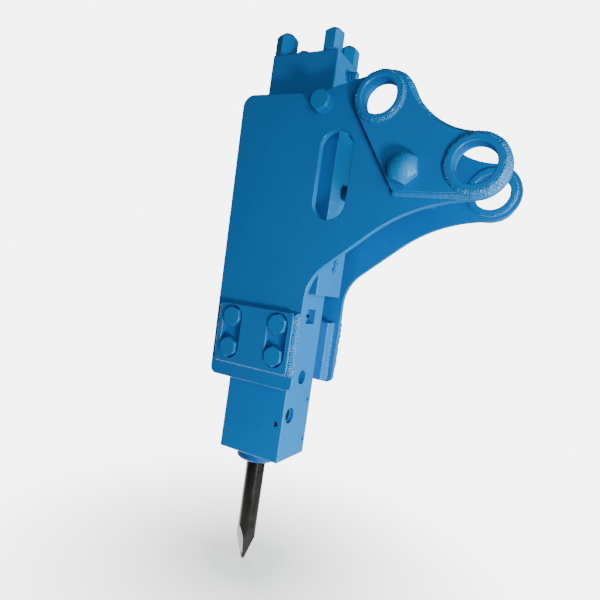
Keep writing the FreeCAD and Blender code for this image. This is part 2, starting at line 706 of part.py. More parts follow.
def lower_bush():
    """Lower guide bush, with a recess at its mouth for the dust seal."""
    bush = tool_bush(LOWER_BUSH_R, LOWER_BUSH_Z0, LOWER_BUSH_Z1, LOWER_BUSH_PIN)
    recess = rod(DUST_SEAL_R + SEAT_GAP, (0, 0, LOWER_BUSH_Z0 - CUT), (0, 0, LOWER_BUSH_Z0 + DUST_SEAL_T))
    return bush.cut(recess)


def upper_bush():
    """Upper guide bush, with a dimple for its lock plug."""
    bush = tool_bush(UPPER_BUSH_R, UPPER_BUSH_Z0, UPPER_BUSH_Z1, UPPER_BUSH_PIN)
    start, end = (lock_plug_start() - CUT, 0, LOCK_PLUG_Z), (UPPER_BUSH_R + CUT, 0, LOCK_PLUG_Z)
    return bush.cut(rod(LOCK_PLUG_R + PIN_GAP, start, end))


def dust_seal():
    z0, z1 = LOWER_BUSH_Z0 + CUT, LOWER_BUSH_Z0 + DUST_SEAL_T
    return tube(DUST_SEAL_R, TOOL_R + STOP_GAP, (0, 0, z0), (0, 0, z1))


def thrust_ring():
    return tube(HEAD_CAVITY_R, TOOL_NECK_R + CUT, (0, 0, THRUST_Z0), (0, 0, THRUST_Z1))


def retaining_pin():
    """Pin across the front head that rides in the tool's flat, notched for its own stop pin."""
    pin = rod(ROD_PIN_R, (ROD_PIN_X0, ROD_PIN_Y, ROD_PIN_Z), (ROD_PIN_X1, ROD_PIN_Y, ROD_PIN_Z))
    pin = pin.makeChamfer(ROD_PIN_EDGE, [e for e in pin.Edges if e.Curve.TypeId == "Part::GeomCircle"])
    start, end = ROD_PIN_Y - 2 * ROD_PIN_R, ROD_PIN_Y + 2 * ROD_PIN_R
    groove = rod(STOP_PIN_R + PIN_GAP, (STOP_PIN_X, start, STOP_PIN_Z), (STOP_PIN_X, end, STOP_PIN_Z))
    return pin.cut(groove)


def stop_pin_end():
    return (STOP_PIN_X, STOP_PIN_Y1, STOP_PIN_Z)


def stop_pin():
    """Pin through the side of the front head that keeps the retaining pin in."""
    return rod(STOP_PIN_R, (STOP_PIN_X, -BODY_Y + STOP_PIN_RECESS, STOP_PIN_Z), stop_pin_end())


def bush_pin(place):
    y, z = place
    return rod(BUSH_PIN_R, (BUSH_PIN_X0 + CUT, y, z), (FRONT_X1 - BUSH_PIN_RECESS, y, z))


def lock_plug_start():
    return UPPER_BUSH_R - LOCK_PLUG_BITE


def lock_plug():
    """Domed plug that locks the upper bush."""
    x0, x1 = lock_plug_start(), FRONT_X1 - LOCK_PLUG_RECESS
    plug = rod(LOCK_PLUG_R, (x0, 0, LOCK_PLUG_Z), (x1, 0, LOCK_PLUG_Z))
    shoulder = x1 - LOCK_PLUG_DOME
    radius = (LOCK_PLUG_R ** 2 + LOCK_PLUG_DOME ** 2) / (2 * LOCK_PLUG_DOME)
    dome = Part.makeSphere(radius, V(x1 - radius, 0, LOCK_PLUG_Z))
    z0, z1 = LOCK_PLUG_Z - LOCK_PLUG_R, LOCK_PLUG_Z + LOCK_PLUG_R
    return plug.common(dome.fuse(box(x0 - CUT, shoulder, -LOCK_PLUG_R, LOCK_PLUG_R, z0, z1)))


def nipple_z():
    return (GREASE_POCKET_Z0 + GREASE_POCKET_Z1) / 2


def grease_nipple():
    """Nipple on the floor of the front head's pocket: thread, hexagon, neck and head."""
    x, z = FRONT_X1 - GREASE_POCKET_DEPTH, nipple_z()
    nipple = rod(NIPPLE_THREAD_R, (x - NIPPLE_DEPTH + CUT, 0, z), (x, 0, z))
    hexagon = hex_prism(NIPPLE_FLATS, (x, 0, z), (x + NIPPLE_HEX, 0, z))
    neck = rod(NIPPLE_NECK_R, (x + NIPPLE_HEX, 0, z), (x + NIPPLE_TIP_X0, 0, z))
    tip = rod(NIPPLE_TIP_R, (x + NIPPLE_TIP_X0, 0, z), (x + NIPPLE_TIP_X1, 0, z))
    return nipple.fuse([hexagon, neck, tip])


def piston():
    """Two-land piston: impact end below, gas end above."""
    foot, top, edge = PISTON_BOTTOM_Z, PISTON_TOP_Z, TOOL_EDGE
    (low0, low1), (high0, high1) = PISTON_LAND_Z
    return turned([
        (0, foot), (PISTON_TIP_R - edge, foot), (PISTON_TIP_R, foot + edge), (PISTON_TIP_R, PISTON_TIP_TOP_Z),
        (PISTON_LOWER_R, PISTON_TIP_TOP_Z + edge), (PISTON_LOWER_R, low0), (PISTON_LAND_R, low0),
        (PISTON_LAND_R, low1), (PISTON_WAIST_R, low1), (PISTON_WAIST_R, high0), (PISTON_LAND_R, high0),
        (PISTON_LAND_R, high1), (PISTON_UPPER_R, high1), (PISTON_UPPER_R, top - edge),
        (PISTON_UPPER_R - edge, top), (0, top),
    ])


def seal_ring(inner, z):
    return tube(inner + SEAL_GAP + SEAL_SECTION, inner + SEAL_GAP, (0, 0, z), (0, 0, z + SEAL_HEIGHT))


def guide_sleeve(outer, shaft, z0, z1, seals):
    """Sleeve round the piston with a groove for each seal."""
    sleeve = tube(outer, shaft + PISTON_CLEARANCE, (0, 0, z0), (0, 0, z1))
    groove = shaft + SEAL_GAP + SEAL_SECTION + SEAT_GAP
    for z in seals:
        sleeve = sleeve.cut(rod(groove, (0, 0, z - PIN_GAP), (0, 0, z + SEAL_HEIGHT + PIN_GAP)))
    return sleeve


def valve_sleeve():
    x, outer = VALVE_X, VALVE_SLEEVE_R
    sleeve = tube(outer, VALVE_SPOOL_R + PISTON_CLEARANCE, (x, 0, VALVE_Z0), (x, 0, VALVE_SLEEVE_Z1))
    for z in VALVE_PASSAGE_Z + (PRESSURE_PORT_Z,):
        sleeve = sleeve.cut(rod(VALVE_SLEEVE_HOLE_R, (x - outer - CUT, 0, z), (x + outer + CUT, 0, z)))
    return sleeve


def valve_spool():
    """Hollow spool with two waists that open and close the sleeve's holes."""
    z0, z1, r, waist = VALVE_Z0 + STOP_GAP, VALVE_SPOOL_TOP, VALVE_SPOOL_R, VALVE_WAIST_R
    profile = [(VALVE_SPOOL_BORE, z0), (r, z0)]
    for low, high in VALVE_WAISTS:
        profile += [(r, low), (waist, low + r - waist), (waist, high - r + waist), (r, high)]
    return turned(profile + [(r, z1), (VALVE_SPOOL_BORE, z1)], VALVE_X)


def valve_plug():
    """Plug that closes the valve bore under the back head."""
    r, waist, z0, z1 = VALVE_SLEEVE_R, VALVE_PLUG_WAIST_R, VALVE_PLUG_Z0, CYLINDER_Z1 - STOP_GAP
    low, high = VALVE_PLUG_WAIST
    slope = r - waist
    return turned([
        (0, z0), (r, z0), (r, low), (waist, low + slope), (waist, high - slope), (r, high), (r, z1), (0, z1),
    ], VALVE_X)


def port_adapter(z):
    """Hose adapter: thread in the cylinder, hexagon, and a threaded nose."""
    x0 = CYLINDER_X1
    x1 = x0 + ADAPTER_HEX
    x2 = x1 + ADAPTER_NOSE
    body = rod(PORT_R, (x0 - PORT_DEPTH + CUT, 0, z), (x0, 0, z))
    body = body.fuse(hex_prism(ADAPTER_FLATS, (x0, 0, z), (x1, 0, z), ADAPTER_TURN))
    body = body.fuse(rod(ADAPTER_NOSE_R, (x1, 0, z), (x2, 0, z)))
    return body.cut(rod(PORT_BORE_R, (x0 - PORT_DEPTH, 0, z), (x2 + CUT, 0, z)))


def gas_valve():
    """Charging valve screwed into the back head."""
    x, z = BACK_X1, GAS_VALVE_Z
    body = rod(GAS_VALVE_R, (x - GAS_VALVE_DEPTH, 0, z), (x, 0, z))
    for radius, start, end in GAS_VALVE_RINGS:
        body = body.fuse(rod(radius, (x + start, 0, z), (x + end, 0, z)))
    return body.cut(rod(GAS_VALVE_BORE_R, (x - GAS_VALVE_DEPTH - CUT, 0, z), (x + GAS_CAP_START, 0, z)))


def gas_valve_cap():
    """Screw cap over the charging valve's nose."""
    x, z = BACK_X1 + GAS_CAP_START, GAS_VALVE_Z
    cap = rod(GAS_CAP_R, (x, 0, z), (x + GAS_CAP_LENGTH, 0, z))
    cap = cap.makeChamfer(GAS_CAP_EDGE, [e for e in cap.Edges if e.Curve.TypeId == "Part::GeomCircle"])
    nose_r, _, nose_end = GAS_VALVE_RINGS[-1]
    return cap.cut(rod(nose_r + PIN_GAP, (x - CUT, 0, z), (BACK_X1 + nose_end + CUT, 0, z)))


def cylinder_plug(y, z, radius):
    """Small socket-head plug, proud of the cylinder face by its collar."""
    x0 = CYLINDER_X1
    x1 = x0 + PLUG_COLLAR_T
    plug = rod(radius, (x0 - PLUG_DEPTH, y, z), (x0, y, z))
    plug = plug.fuse(rod(radius + PLUG_COLLAR, (x0, y, z), (x1, y, z)))
    return plug.cut(hex_prism(radius, (x0 + CUT, y, z), (x1 + CUT, y, z)))


def save_pair(name, shape):
    """A piece and its mirror twin, as left and right nodes."""
    save(name + "_left", shape)
    save(name + "_right", mirrored(shape))


def save_bracket():
    save_pair("side_plate", side_plate())
    save_pair("ear_doubler", ear_doubler())
    save_pair("arm_pin_boss", pin_boss(ARM_PIN_X, 0.0, ARM_BOSS_R, ARM_BORE_R))
    save_pair("link_pin_boss", pin_boss(LINK_PIN_X, LINK_PIN_Z, LINK_BOSS_R, LINK_BORE_R))
    save_pair("clamp_pad", clamp_pad())
    save_pair("lower_spacer", lower_spacer())
    save_pair("upper_spacer", upper_spacer())
    save_pair("lower_side_bolts", group(lower_side_bolts()))
    save_pair("lower_side_washers", group([washer(x, z, WASHER_R) for x, z in side_bolt_places()]))
    save_pair("upper_side_bolt", side_bolt(UPPER_BOLT_X, UPPER_BOLT_Z, UPPER_BOLT_TURN))
    save_pair("upper_side_washer", washer(UPPER_BOLT_X, UPPER_BOLT_Z, UPPER_WASHER_R))
    save("cross_bolt", cross_bolt())
    save("cross_bolt_nut", cross_nut())
    save("cross_tube", cross_tube())


def save_body():
    save("back_head", back_head())
    save("cylinder", cylinder())
    save("front_head", front_head())
    places = through_places()
    save("through_bolts", group([through_bolt(x, y) for x, y in places]))
    save("through_bolt_nuts", group([through_nut(x, y, t) for (x, y), t in zip(places, THROUGH_NUT_TURN)]))
    save("through_bolt_washers", group([through_washer(x, y) for x, y in places]))
    save("gas_chamber_seal", face_seal(CYLINDER_Z1))
    save("front_head_seal", face_seal(FRONT_Z1))
    save("gas_valve", gas_valve())
    save("gas_valve_cap", gas_valve_cap())
    save("pressure_port_adapter", port_adapter(PRESSURE_PORT_Z))
    save("return_port_adapter", port_adapter(RETURN_PORT_Z))
    save("cylinder_plugs", group([cylinder_plug(y, z, r) for y, z, r in CYLINDER_PLUGS]))


def save_striking_parts():
    save("piston", piston())
    save("seal_bush", guide_sleeve(SEAL_BUSH_R, PISTON_LOWER_R, FRONT_Z1, SEAL_BUSH_Z1, LOWER_SEAL_Z))
    top = CYLINDER_Z1 - STOP_GAP
    save("seal_carrier", guide_sleeve(CARRIER_R, PISTON_UPPER_R, CARRIER_Z0, top, UPPER_SEAL_Z))
    save("lower_piston_seals", group([seal_ring(PISTON_LOWER_R, z) for z in LOWER_SEAL_Z]))
    save("upper_piston_seals", group([seal_ring(PISTON_UPPER_R, z) for z in UPPER_SEAL_Z]))
    save("valve_sleeve", valve_sleeve())
    save("valve_spool", valve_spool())
    save("valve_plug", valve_plug())


def save_tool_parts():
    save("chisel", chisel())
    save("lower_tool_bush", lower_bush())
    save("upper_tool_bush", upper_bush())
    save("tool_dust_seal", dust_seal())
    save("thrust_ring", thrust_ring())
    save("retaining_pin", retaining_pin())
    save("retaining_pin_stop", stop_pin())
    save("upper_bush_pin", bush_pin(UPPER_BUSH_PIN))
    save("lower_bush_pin", bush_pin(LOWER_BUSH_PIN))
    save("upper_bush_lock_plug", lock_plug())
    save("grease_nipple", grease_nipple())


os.makedirs("parts", exist_ok=True)
save_bracket()
save_body()
save_striking_parts()
save_tool_parts()
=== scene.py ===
"""Studio scene of the hydraulic breaker hammer: the CAD parts with finished paint and steel,
and the welds, screw threads and paint detail that the CAD parts don't carry.

Metres. The origin is the centre of the arm pin bore, +Z is up along the tool,
+X points towards the carrier, and the side that the camera sees is -Y.
"""

import math
import random

import bmesh
import bpy
from mathutils import Matrix, Vector


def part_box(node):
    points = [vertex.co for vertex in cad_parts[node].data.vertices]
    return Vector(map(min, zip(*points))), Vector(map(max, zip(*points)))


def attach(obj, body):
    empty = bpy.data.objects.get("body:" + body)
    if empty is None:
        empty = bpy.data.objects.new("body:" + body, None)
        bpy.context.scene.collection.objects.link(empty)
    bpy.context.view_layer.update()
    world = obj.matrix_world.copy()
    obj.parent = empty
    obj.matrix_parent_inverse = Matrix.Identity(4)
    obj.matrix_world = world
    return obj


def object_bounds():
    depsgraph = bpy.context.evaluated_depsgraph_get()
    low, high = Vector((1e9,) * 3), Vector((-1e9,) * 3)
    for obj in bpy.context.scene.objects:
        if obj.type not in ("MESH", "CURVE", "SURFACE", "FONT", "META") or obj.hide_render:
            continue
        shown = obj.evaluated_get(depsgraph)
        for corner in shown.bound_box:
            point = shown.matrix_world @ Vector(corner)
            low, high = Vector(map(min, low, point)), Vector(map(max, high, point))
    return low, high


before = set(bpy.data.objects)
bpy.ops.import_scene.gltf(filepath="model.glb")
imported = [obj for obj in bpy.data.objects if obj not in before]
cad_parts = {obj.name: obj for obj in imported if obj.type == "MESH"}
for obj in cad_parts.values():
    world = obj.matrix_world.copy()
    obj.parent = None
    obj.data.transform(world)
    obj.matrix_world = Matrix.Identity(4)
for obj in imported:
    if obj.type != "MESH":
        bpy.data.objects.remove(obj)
cad_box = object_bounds()

HAMMER = "hammer_body"
SIDES = {"right": -1, "left": 1}

# Camera and stage
CAMERA_PLACE = Vector((0.2506, -1.4311, -0.3644))
CAMERA_AZIMUTH = math.radians(28.16)
CAMERA_ELEVATION = math.radians(1.24)
CAMERA_ROLL = math.radians(8.2)
CAMERA_LENS = 30.13
FLOOR_RADIUS = 2.6
FLOOR_GLOW = 0.9
FADE_START, FADE_END = 0.10, 1.0
SEEN_BACKGROUND = 6.0
AMBIENT = 0.14
WHITE = (1, 1, 1)

# Weld beads; each size is (leg, roughness)
BOSS_BEAD = (0.0095, 1.0)
INNER_BOSS_BEAD = (0.0055, 0.9)
SPACER_BEAD = (0.007, 0.9)
TUBE_BEAD = (0.007, 1.0)
DOUBLER_TOP_BEAD = (0.0095, 0.9)
DOUBLER_REAR_BEAD = (0.0030, 0.3)
DOUBLER_LOWER_BEAD = (0.0135, 0.15)
PAD_BEAD = (0.0085, 0.5)
PAD_FRONT_BEAD = (0.0145, 1.6)
PAD_TOP_LESS = 0.0030
BEAD_STEP = 0.0014
BEAD_RIPPLE = 0.0072
BEAD_ARC = 8
BEAD_CROWN = 0.24
RIPPLE_HEIGHT = 0.07
LUMP_HEIGHT = 0.12
RINGS_PER_LUMP = 7
BURIED = 0.0015
SMOOTH_BAND = 0.020

# How a plate's rim is read from its CAD mesh
LEVEL_TOLERANCE = 0.0002
MERGE_DISTANCE = 1e-6
FLAT_NORMAL = 0.99

# Paint: softened edges, and relief layers of (noise scale, depth, strength)
EDGE_SOFTNESS = 0.0012
PITS = ((520.0, 0.0006, 0.10),)
SLAG = ((150.0, 0.0042, 1.0), (400.0, 0.0016, 0.80))
HAMMERED = ((95.0, 0.0026, 0.75), (260.0, 0.0010, 0.60))

# Screw threads
PORT_NOSE_R = 0.0145
PORT_NOSE_LENGTH = 0.016
PORT_PITCH = 0.0018
PORT_THREAD_INSET = 0.001
CROSS_BOLT_R = 0.024
CROSS_BOLT_PITCH = 0.003
CROSS_THREAD_INSET = 0.0006
THREAD_SIDES = 48
THREAD_HEIGHT = 0.55
# One turn's cross-section in pitches: (along the axis, share of the height, or depth where it is negative)
THREAD_PROFILE = ((-0.42, -0.1), (-0.08, 1.0), (0.08, 1.0), (0.42, -0.1))

rng = random.Random(11)


# ---------------------------------------------------------------- materials

def new_material(name):
    """Material with one Principled shader: (material, node tree, shader)."""
    mat = bpy.data.materials.new(name)
    mat.use_nodes = True
    tree = mat.node_tree
    tree.nodes.clear()
    out = tree.nodes.new("ShaderNodeOutputMaterial")
    shader = tree.nodes.new("ShaderNodeBsdfPrincipled")
    tree.links.new(shader.outputs["BSDF"], out.inputs["Surface"])
    return mat, tree, shader


def add(tree, kind, **values):
    """Node of this kind with its sockets or properties set by name."""
    node = tree.nodes.new(kind)
    for key, value in values.items():
        if hasattr(node, key):
            setattr(node, key, value)
        else:
            node.inputs[key.replace("_", " ")].default_value = value
    return node


def noise(tree, coords, scale, detail=3.0, roughness=0.5, stretch=(1, 1, 1)):
    """Noise in object space, finer where stretch is larger."""
    mapping = add(tree, "ShaderNodeMapping")
    mapping.inputs["Scale"].default_value = stretch
    tree.links.new(coords, mapping.inputs["Vector"])
    node = add(tree, "ShaderNodeTexNoise")
    node.inputs["Scale"].default_value = scale
    node.inputs["Detail"].default_value = detail
    node.inputs["Roughness"].default_value = roughness
    tree.links.new(mapping.outputs["Vector"], node.inputs["Vector"])
    return node.outputs["Fac"]


def remap(tree, value, low, high, new_low, new_high):
    node = add(tree, "ShaderNodeMapRange")
    for k, number in enumerate((low, high, new_low, new_high)):
        node.inputs[k + 1].default_value = number
    tree.links.new(value, node.inputs["Value"])
    return node.outputs["Result"]


def blend_colour(tree, share, first, second):
    """Colour between two, where either is a colour or another node's output."""
    node = add(tree, "ShaderNodeMix", data_type="RGBA")
    tree.links.new(share, node.inputs["Factor"])
    for socket, colour in ((node.inputs["A"], first), (node.inputs["B"], second)):
        if isinstance(colour, tuple):
            socket.default_value = (*colour, 1.0)
        else:
            tree.links.new(colour, socket)
    return node.outputs["Result"]


def bumps(tree, shader, layers, edge=0.0):
    """Chain of bump nodes over an edge rounding: each layer is (height output, distance, strength)."""
    before = None
    if edge:
        bevel = add(tree, "ShaderNodeBevel", samples=4)
        bevel.inputs["Radius"].default_value = edge
        before = bevel.outputs["Normal"]
    for height, distance, strength in layers:
        node = add(tree, "ShaderNodeBump")
        node.inputs["Strength"].default_value = strength
        node.inputs["Distance"].default_value = distance
        tree.links.new(height, node.inputs["Height"])
        if before:
            tree.links.new(before, node.inputs["Normal"])
        before = node.outputs["Normal"]
    tree.links.new(before, shader.inputs["Normal"])


def enamel(name, colour, deep, grain, gloss, shine=0.22, layers=()):
    """Sprayed enamel: slow drift of colour, orange peel, softened edges, and extra relief layers.

    shine is the specular level, and each extra layer is (noise scale, depth in metres, strength).
    """
    mat, tree, shader = new_material(name)
    coords = add(tree, "ShaderNodeTexCoord").outputs["Object"]
    drift = remap(tree, noise(tree, coords, 5.0, 2.0), 0.3, 0.7, 0.0, 0.55)
    mottle = remap(tree, noise(tree, coords, 60.0, 4.0), 0.35, 0.75, 0.0, 0.30)
    base = blend_colour(tree, mottle, blend_colour(tree, drift, colour, deep), deep)
    tree.links.new(base, shader.inputs["Base Color"])
    rough = remap(tree, noise(tree, coords, 35.0, 5.0, 0.6), 0.3, 0.7, gloss - 0.05, gloss + 0.09)
    tree.links.new(rough, shader.inputs["Roughness"])
    shader.inputs["Specular IOR Level"].default_value = shine
    shader.inputs["Coat Weight"].default_value = shine / 3
    shader.inputs["Coat Roughness"].default_value = 0.16
    relief = [
        (noise(tree, coords, 38.0, 3.0), 0.0012, grain * 0.5),
        (noise(tree, coords, 260.0, 2.0), 0.00035, grain),
    ]
    relief += [(noise(tree, coords, scale, 3.0, 0.65), depth, strength) for scale, depth, strength in layers]
    bumps(tree, shader, relief, EDGE_SOFTNESS)
    return mat


def steel(name, colour, dark, rough, stretch=(1, 1, 1), scratch=0.25, oil=0.0):
    """Machined or forged steel: grain along the piece, darker oxide patches, and a film of oil."""
    mat, tree, shader = new_material(name)
    coords = add(tree, "ShaderNodeTexCoord").outputs["Object"]
    patch = remap(tree, noise(tree, coords, 28.0, 5.0, 0.62), 0.35, 0.7, 0.0, 1.0)
    grain = noise(tree, coords, 420.0, 4.0, 0.6, stretch)
    tree.links.new(blend_colour(tree, patch, colour, dark), shader.inputs["Base Color"])
    spread = remap(tree, noise(tree, coords, 90.0, 4.0, 0.6, stretch), 0.3, 0.7, rough - 0.08, rough + 0.14)
    tree.links.new(spread, shader.inputs["Roughness"])
    shader.inputs["Metallic"].default_value = 1.0
    shader.inputs["Coat Weight"].default_value = oil
    shader.inputs["Coat Roughness"].default_value = 0.18
    bumps(tree, shader, [(grain, 0.0003, scratch), (noise(tree, coords, 45.0, 3.0), 0.0008, 0.15)])
    return mat


def rubber(name, colour, dusty):
    """Matt black rubber with patches of dust."""
    mat, tree, shader = new_material(name)
    coords = add(tree, "ShaderNodeTexCoord").outputs["Object"]
    dust = remap(tree, noise(tree, coords, 40.0, 5.0), 0.4, 0.8, 0.0, 1.0)
    tree.links.new(blend_colour(tree, dust, colour, dusty), shader.inputs["Base Color"])
    shader.inputs["Roughness"].default_value = 0.58
    bumps(tree, shader, [(noise(tree, coords, 700.0, 3.0), 0.0002, 0.4)])
    return mat


def make_materials():
    """One finish for each material slot of the record, and more for welds and single parts."""
    blue, deep = (0.0110, 0.168, 0.500), (0.0090, 0.134, 0.425)
    # The cross bolt's colour is a lighter, more cyan copy of the body blue: a painted highlight on the bolt
    # head.
    bolt_blue, weld_blue, cross_bolt_highlight_blue = (0.0120, 0.180, 0.490), (0.0120, 0.182, 0.490), (0.0140, 0.240, 0.620)
    fitting_blue, fitting_deep = (0.0020, 0.045, 0.150), (0.0015, 0.020, 0.070)
    bush_blue, bush_deep = (0.0060, 0.090, 0.290), (0.0045, 0.070, 0.240)
    # Near-black blue for the bush lock plug at the bottom of its hole: painted shade that makes the hole
    # read dark.
    lock_plug_shade_blue, lock_plug_shade_deep = (0.0010, 0.012, 0.040), (0.0008, 0.008, 0.025)
    forged, scale = (0.030, 0.027, 0.025), (0.012, 0.011, 0.010)
    ground, ground_dark = (0.42, 0.42, 0.43), (0.26, 0.26, 0.27)
    # Blue-black pin colours: partly paint carried onto the exposed pin ends, partly painted shade for the
    # holes they are seen down.
    pin, pin_dark = (0.060, 0.075, 0.095), (0.025, 0.032, 0.045)
    black, dusty = (0.012, 0.012, 0.013), (0.035, 0.034, 0.033)
    return {
        "bracket_paint": enamel("bracket_enamel", blue, deep, 0.30, 0.30),
        "body_paint": enamel("body_enamel", blue, deep, 0.42, 0.33, layers=PITS),
        "fastener_paint": enamel("fastener_enamel", bolt_blue, deep, 0.20, 0.26),
        "weld_paint": enamel("weld_enamel", weld_blue, deep, 0.35, 0.17, 0.42, SLAG),
        "fitting_paint": enamel("fitting_enamel", fitting_blue, fitting_deep, 0.25, 0.28),
        # Cross bolt head: lighter cyan enamel with a painted highlight, over the hammered relief.
        "cross_bolt_highlight_paint": enamel("cross_bolt_highlight_enamel", cross_bolt_highlight_blue, blue, 0.35, 0.24, 0.30, HAMMERED),
        "bush_paint": enamel("bush_enamel", bush_blue, bush_deep, 0.30, 0.40, 0.10),
        # Near-black enamel on the lock plug: painted shade inside its hole.
        "lock_plug_shade_paint": enamel("lock_plug_shade_enamel", lock_plug_shade_blue, lock_plug_shade_deep, 0.20, 0.25, 0.60),
        "tool_steel": steel("forged_tool_steel", forged, scale, 0.30, (1, 1, 0.12), 0.25, 0.25),
        "ground_steel": steel("ground_steel", ground, ground_dark, 0.28, (1, 1, 8.0)),
        # Pins: darkened blue-black steel, partly paint on the ends and partly painted shade in their holes.
        "pin_steel": steel("pin_steel", pin, pin_dark, 0.38, (6.0, 1, 1)),
        "seal_rubber": rubber("nitrile_rubber", black, dusty),
    }


def dress_cad_nodes(materials):
    """Give each CAD node the finish that its record slot names, or the one of its own."""
    own = {
        "pressure_port_adapter": "fitting_paint",
        # The lock plug gets the near-black enamel, painted shade for the hole it sits in.
        "upper_bush_lock_plug": "lock_plug_shade_paint",
        # The cross bolt gets the lighter enamel that carries a painted highlight.
        "cross_bolt": "cross_bolt_highlight_paint",
        "lower_tool_bush": "bush_paint",
    }
    for name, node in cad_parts.items():
        for place in node.material_slots:
            plain = place.material.name.split(".")[0]
            place.material = materials[own.get(name, plain)]


# ---------------------------------------------------------------- mesh helpers

def finish_mesh(name, mesh, material):
    """Turn a bmesh into a smooth piece that rides on the hammer's body."""
    data = bpy.data.meshes.new(name)
    bmesh.ops.recalc_face_normals(mesh, faces=mesh.faces)
    mesh.to_mesh(data)
    mesh.free()
    data.materials.append(material)
    for face in data.polygons:
        face.use_smooth = True
    piece = bpy.data.objects.new(name, data)
    bpy.context.scene.collection.objects.link(piece)
    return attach(piece, HAMMER)


def sweep(mesh, rings, closed):
    """Skin a row of equal rings; a closed row joins its ends, an open one gets end caps."""
    made = [[mesh.verts.new(point) for point in ring] for ring in rings]
    count = len(made[0])
    last = len(made) if closed else len(made) - 1
    for k in range(last):
        one, two = made[k], made[(k + 1) % len(made)]
        for j in range(count):
            mesh.faces.new((one[j], one[(j + 1) % count], two[(j + 1) % count], two[j]))
    if not closed:
        mesh.faces.new(made[0])
        mesh.faces.new(made[-1])


def spaced(points, step):
    """Points at an even spacing round a closed polyline, with the distance of each from its start."""
    line = points + points[:1]
    total = sum((b - a).length for a, b in zip(line, line[1:]))
    count = max(2, round(total / step))
    gap = total / count
    placed, walked, k = [], 0.0, 0
    for n in range(count):
        target = n * gap
        while k < len(line) - 2 and walked + (line[k + 1] - line[k]).length < target:
            walked += (line[k + 1] - line[k]).length
            k += 1
        run = (line[k + 1] - line[k]).length
        placed.append((line[k].lerp(line[k + 1], min(1.0, (target - walked) / run)), target))
    return placed


def rim_neighbours(mesh, height, facing):
    """Vertices of a plate's sharp edges in the plane y = height: {vertex index: its neighbours' indices}."""
    ends = {}
    for edge in mesh.edges:
        flat = [f for f in edge.link_faces if f.normal.y * facing > FLAT_NORMAL]
        level = all(abs(v.co.y - height) < LEVEL_TOLERANCE for v in edge.verts)
        if level and len(flat) == 1 and len(edge.link_faces) == 2:
            for v in edge.verts:
                ends.setdefault(v.index, []).append(edge.other_vert(v).index)
    return ends


def rim_loop(node, height, facing):
    """Longest closed loop of a CAD plate's sharp edges that lies in the plane y = height.

    facing is the Y direction of the flat face that the loop goes round.
    """
    mesh = bmesh.new()
    mesh.from_mesh(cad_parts[node].data)
    bmesh.ops.remove_doubles(mesh, verts=mesh.verts, dist=MERGE_DISTANCE)
    ends = rim_neighbours(mesh, height, facing)
    places = {v.index: v.co.copy() for v in mesh.verts}
    mesh.free()
    loops, used = [], set()
    for start in ends:
        if start in used:
            continue
        loop, onward = [], [start]
        while onward:
            used.add(onward[0])
            loop.append(onward[0])
            onward = [n for n in ends[onward[0]] if n not in used]
        loops.append([places[n] for n in loop])
    return max(loops, key=lambda pts: sum((b - a).length for a, b in zip(pts, pts[1:])))


def circle(centre, radius, count=160):
    """Points round a pin axis."""
    turns = [2 * math.pi * k / count for k in range(count)]
    return [centre + Vector((radius * math.cos(a), 0, radius * math.sin(a))) for a in turns]


def outward(points):
    """Direction in the XZ plane that points out of a closed loop, at each of its points."""
    area = sum(a.x * b.z - b.x * a.z for a, b in zip(points, points[1:] + points[:1]))
    way = 1 if area > 0 else -1
    found = []
    for k in range(len(points)):
        along = (points[(k + 1) % len(points)] - points[k - 1]).normalized()
        found.append(Vector((along.z, 0, -along.x)) * way)
    return found


def ease(value, low, high):
    """0 below low, 1 above high, and a smooth rise between."""
    share = min(1.0, max(0.0, (value - low) / (high - low)))
    return share * share * (3 - 2 * share)


def bead_rings(stations):
    """Cross-sections of a fillet weld.

    Each station is (corner point, direction along the plate, direction up the wall, leg,
    roughness, distance run).
    """
    phase = rng.uniform(0, 2 * math.pi)
    lumps = [rng.uniform(-1, 1) for _ in range(len(stations) // RINGS_PER_LUMP + 2)]
    lumps.append(lumps[0])
    rings = []
    for k, (point, side, up, leg, rough, run) in enumerate(stations):
        spot = k / len(stations) * (len(lumps) - 1)
        low, high = lumps[int(spot)], lumps[int(spot) + 1]
        lump = low + (high - low) * ease(spot % 1.0, 0, 1)
        ring = []
        for j in range(BEAD_ARC + 1):
            a = math.pi / 2 * j / BEAD_ARC
            crescent = math.cos(2 * math.pi * (run + 0.4 * leg * math.sin(2 * a)) / BEAD_RIPPLE + phase)
            reach = leg / (math.cos(a) + math.sin(a)) * (1 + BEAD_CROWN * math.sin(2 * a))
            reach *= 1 + rough * (RIPPLE_HEIGHT * crescent + LUMP_HEIGHT * lump)
            ring.append(point + side * (reach * math.cos(a)) + up * (reach * math.sin(a)))
        ring.append(point - side * BURIED + up * (leg * 0.9))
        ring.append(point - side * BURIED - up * BURIED)
        ring.append(point + side * (leg * 0.9) - up * BURIED)
        rings.append(ring)
    return rings


def weld_round(mesh, path, up, size):
    """Weld round a closed path at a plate's face; up is the Y direction in which the wall stands.

    size gives the leg and the roughness for an outward direction of the path.
    """
    placed = spaced(path, BEAD_STEP)
    sides = outward([point for point, _ in placed])
    stations = []
    for (point, run), out in zip(placed, sides):
        leg, rough = size(out)
        stations.append((point, out, Vector((0, up, 0)), leg, rough, run))
    sweep(mesh, bead_rings(stations), True)


def even(leg, rough):
    """The same bead all the way round."""
    return lambda out: (leg, rough)


def between(first, second, share):
    """Bead size part of the way from one to another."""
    return tuple(a + (b - a) * share for a, b in zip(first, second))


def doubler_bead(out):
    """Slim bead at the rear edge, smooth heavy bead below, and a rough one over the top."""
    rear, below = ease(-out.x, 0.3, 0.8), ease(-out.z, 0.6, 0.9)
    return between(between(DOUBLER_TOP_BEAD, DOUBLER_REAR_BEAD, rear), DOUBLER_LOWER_BEAD, below)


